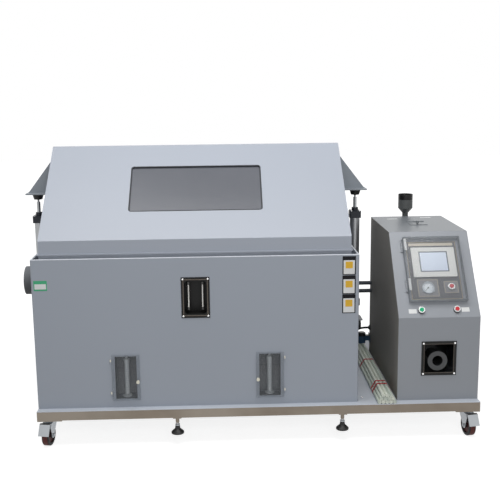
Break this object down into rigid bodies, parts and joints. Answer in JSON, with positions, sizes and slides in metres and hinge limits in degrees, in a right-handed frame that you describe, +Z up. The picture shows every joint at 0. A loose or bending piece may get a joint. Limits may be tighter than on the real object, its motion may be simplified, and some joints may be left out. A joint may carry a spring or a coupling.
{
  "type": "salt spray test chamber",
  "caption": "Salt spray corrosion test chamber: gabled water-sealed lid on two lift cylinders over a tank, sloping control console, wheeled steel base.",
  "frame": {"origin": "on the floor, under the middle of the machine's overall box", "axes": "+X to the operator's right, towards the console; +Y to the back; +Z up"},
  "size_m": [1.9831, 1.0577, 1.236],
  "materials": {
    "tank_grey": "satin",
    "lid_grey": "satin",
    "console_grey": "satin",
    "stainless_tube": "brushed",
    "hinge_steel": "brushed",
    "tinted_pane": "polished",
    "clear_plastic": "polished",
    "clear_glass": "polished",
    "white_plastic": "satin",
    "rod_plastic": "satin",
    "port_grey": "gloss",
    "heater_steel": "satin",
    "bracket_grey": "satin",
    "black_cap_cylinder": "anodised",
    "chrome_rod": "polished",
    "control_grey": "satin",
    "panel_cream": "satin",
    "gauge_white": "gloss",
    "needle_black": "matte",
    "bezel_chrome": "polished",
    "button_green": "gloss",
    "button_red": "gloss",
    "button_rose": "gloss",
    "window_black": "gloss",
    "barrel_dark": "satin",
    "funnel_dark": "satin",
    "pipe_grey": "satin",
    "hose_black": "satin",
    "fitting_black": "satin",
    "pump_blue": "satin",
    "caster_zinc": "zinc plated",
    "wheel_red": "satin",
    "foot_black": "gloss"
  },
  "bodies": {
    "chassis": {"base_frame": "stainless_tube", "deck_plate": "tank_grey", "caster_top_plates": "caster_zinc", "tank_shell": "tank_grey", "inner_tank": "tank_grey", "heater_tubes": "heater_steel", "spray_tower": "clear_glass", "rack_rails": "white_plastic", "collection_funnels": "white_plastic", "measuring_cylinders": "clear_glass", "niche_pockets": "tank_grey", "level_window_frame": "window_black", "level_tubes": "clear_glass", "exhaust_port": "port_grey", "hinge_tank_leaves": "hinge_steel", "cylinder_brackets": "bracket_grey", "console_cabinet": "console_grey", "console_rear_cover": "console_grey", "control_plate": "control_grey", "touch_panel": "panel_cream", "gauge_case": "gauge_white", "button_bezels": "bezel_chrome", "inspection_window": "window_black", "humidifier_barrel": "barrel_dark", "filler_funnel": "funnel_dark", "connecting_pipes": "pipe_grey", "water_hose": "hose_black", "service_fittings": "fitting_black", "water_pump": "pump_blue", "rod_bundle": "rod_plastic"},
    "lid": {"lid_shell": "lid_grey", "lid_window": "tinted_pane", "lid_wings": "lid_grey", "hinge_lid_leaves": "hinge_steel"},
    "cylinder_left": {"cylinder_left": "black_cap_cylinder"},
    "cylinder_right": {"cylinder_right": "black_cap_cylinder"},
    "rod_left": {"rod_left": "chrome_rod"},
    "rod_right": {"rod_right": "chrome_rod"},
    "niche_door_left": {"niche_door_left": "clear_plastic"},
    "niche_door_right": {"niche_door_right": "clear_plastic"},
    "panel_cover": {"panel_cover": "clear_plastic"},
    "button_start": {"button_start": "button_green"},
    "button_stop": {"button_stop": "button_red"},
    "button_power": {"button_power": "button_rose"},
    "gauge_needle": {"gauge_needle": "needle_black"},
    "hatch_lid": {"hatch_lid": "console_grey"},
    "fork_front_left": {"caster_fork_front_left": "caster_zinc"},
    "wheel_front_left": {"caster_wheel_front_left": "wheel_red"},
    "brake_pedal_front_left": {"brake_pedal_front_left": "caster_zinc"},
    "fork_front_right": {"caster_fork_front_right": "caster_zinc"},
    "wheel_front_right": {"caster_wheel_front_right": "wheel_red"},
    "brake_pedal_front_right": {"brake_pedal_front_right": "caster_zinc"},
    "fork_rear_left": {"caster_fork_rear_left": "caster_zinc"},
    "wheel_rear_left": {"caster_wheel_rear_left": "wheel_red"},
    "fork_rear_right": {"caster_fork_rear_right": "caster_zinc"},
    "wheel_rear_right": {"caster_wheel_rear_right": "wheel_red"},
    "foot_front_left": {"levelling_foot_front_left": "foot_black"},
    "foot_front_right": {"levelling_foot_front_right": "foot_black"},
    "foot_rear_left": {"levelling_foot_rear_left": "foot_black"},
    "foot_rear_right": {"levelling_foot_rear_right": "foot_black"}
  },
  "joints": [
    {"name": "lid_hinge", "type": "hinge", "parent": "chassis", "child": "lid", "pos_m": [-0.209, 0.5155, 0.852], "axis": [-1, 0, 0], "range_deg": [0, 45]},
    {"name": "cylinder_left_tilt", "type": "hinge", "parent": "chassis", "child": "cylinder_left", "pos_m": [-0.942, 0.0105, 0.427], "axis": [-1, 0, 0], "range_deg": [0, 16]},
    {"name": "rod_left_slide", "type": "slide", "parent": "cylinder_left", "child": "rod_left", "axis": [0, 0, 1], "range_m": [0, 0.35]},
    {"name": "cylinder_right_tilt", "type": "hinge", "parent": "chassis", "child": "cylinder_right", "pos_m": [0.524, 0.0105, 0.427], "axis": [-1, 0, 0], "range_deg": [0, 16]},
    {"name": "rod_right_slide", "type": "slide", "parent": "cylinder_right", "child": "rod_right", "axis": [0, 0, 1], "range_m": [0, 0.35]},
    {"name": "caster_swivel_front_left", "type": "hinge", "parent": "chassis", "child": "fork_front_left", "pos_m": [-0.847, -0.4395, 0.1], "axis": [0, 0, 1], "continuous": true},
    {"name": "caster_roll_front_left", "type": "hinge", "parent": "fork_front_left", "child": "wheel_front_left", "pos_m": [-0.85186, -0.46707, 0.045], "axis": [0.9848, -0.1736, 0], "continuous": true},
    {"name": "brake_front_left", "type": "hinge", "parent": "fork_front_left", "child": "brake_pedal_front_left", "pos_m": [-0.85499, -0.4848, 0.094], "axis": [0.9848, -0.1736, 0], "range_deg": [0, 12]},
    {"name": "caster_swivel_front_right", "type": "hinge", "parent": "chassis", "child": "fork_front_right", "pos_m": [0.949, -0.4395, 0.1], "axis": [0, 0, 1], "continuous": true},
    {"name": "caster_roll_front_right", "type": "hinge", "parent": "fork_front_right", "child": "wheel_front_right", "pos_m": [0.95386, -0.46707, 0.045], "axis": [0.9848, 0.1736, 0], "continuous": true},
    {"name": "brake_front_right", "type": "hinge", "parent": "fork_front_right", "child": "brake_pedal_front_right", "pos_m": [0.95699, -0.4848, 0.094], "axis": [0.9848, 0.1736, 0], "range_deg": [0, 12]},
    {"name": "caster_swivel_rear_left", "type": "hinge", "parent": "chassis", "child": "fork_rear_left", "pos_m": [-0.847, 0.4255, 0.1], "axis": [0, 0, 1], "continuous": true},
    {"name": "caster_roll_rear_left", "type": "hinge", "parent": "fork_rear_left", "child": "wheel_rear_left", "pos_m": [-0.85883, 0.45088, 0.045], "axis": [-0.9063, -0.4226, 0], "continuous": true},
    {"name": "caster_swivel_rear_right", "type": "hinge", "parent": "chassis", "child": "fork_rear_right", "pos_m": [0.949, 0.4255, 0.1], "axis": [0, 0, 1], "continuous": true},
    {"name": "caster_roll_rear_right", "type": "hinge", "parent": "fork_rear_right", "child": "wheel_rear_right", "pos_m": [0.96083, 0.45088, 0.045], "axis": [-0.9063, 0.4226, 0], "continuous": true},
    {"name": "foot_screw_front_left", "type": "slide", "parent": "chassis", "child": "foot_front_left", "axis": [0, 0, 1], "range_m": [-0.05, 0.006]},
    {"name": "foot_screw_front_right", "type": "slide", "parent": "chassis", "child": "foot_front_right", "axis": [0, 0, 1], "range_m": [-0.05, 0.006]},
    {"name": "foot_screw_rear_left", "type": "slide", "parent": "chassis", "child": "foot_rear_left", "axis": [0, 0, 1], "range_m": [-0.05, 0.006]},
    {"name": "foot_screw_rear_right", "type": "slide", "parent": "chassis", "child": "foot_rear_right", "axis": [0, 0, 1], "range_m": [-0.05, 0.006]},
    {"name": "niche_door_left_hinge", "type": "hinge", "parent": "chassis", "child": "niche_door_left", "pos_m": [-0.5759, -0.473, 0.293], "axis": [0, 0, -1], "range_deg": [0, 120]},
    {"name": "niche_door_right_hinge", "type": "hinge", "parent": "chassis", "child": "niche_door_right", "pos_m": [0.1579, -0.473, 0.293], "axis": [0, 0, 1], "range_deg": [0, 120]},
    {"name": "panel_cover_hinge", "type": "hinge", "parent": "chassis", "child": "panel_cover", "pos_m": [0.689, -0.33284, 0.70579], "axis": [0, -0.6074, -0.7944], "range_deg": [0, 105]},
    {"name": "gauge_spindle", "type": "hinge", "parent": "chassis", "child": "gauge_needle", "pos_m": [0.783, -0.38587, 0.63808], "axis": [0, 0.7944, -0.6074], "range_deg": [0, 270]},
    {"name": "hatch_hinge", "type": "hinge", "parent": "chassis", "child": "hatch_lid", "pos_m": [0.818, 0.0455, 0.8579], "axis": [-1, 0, 0], "range_deg": [0, 100]},
    {"name": "button_start_press", "type": "slide", "parent": "chassis", "child": "button_start", "axis": [0, 0.7944, -0.6074], "range_m": [0, 0.003], "stiffness_N_per_m": 400},
    {"name": "button_stop_press", "type": "slide", "parent": "chassis", "child": "button_stop", "axis": [0, 0.7944, -0.6074], "range_m": [0, 0.003], "stiffness_N_per_m": 400},
    {"name": "button_power_press", "type": "slide", "parent": "chassis", "child": "button_power", "axis": [0, 0.7944, -0.6074], "range_m": [0, 0.003], "stiffness_N_per_m": 400}
  ],
  "couplings": [
    {"joint": "cylinder_left_tilt", "follows": "lid_hinge", "ratio": 0.35195},
    {"joint": "rod_left_slide", "follows": "lid_hinge", "m_per_rad": 0.44469},
    {"joint": "cylinder_right_tilt", "follows": "lid_hinge", "ratio": 0.35195},
    {"joint": "rod_right_slide", "follows": "lid_hinge", "m_per_rad": 0.44469}
  ]
}
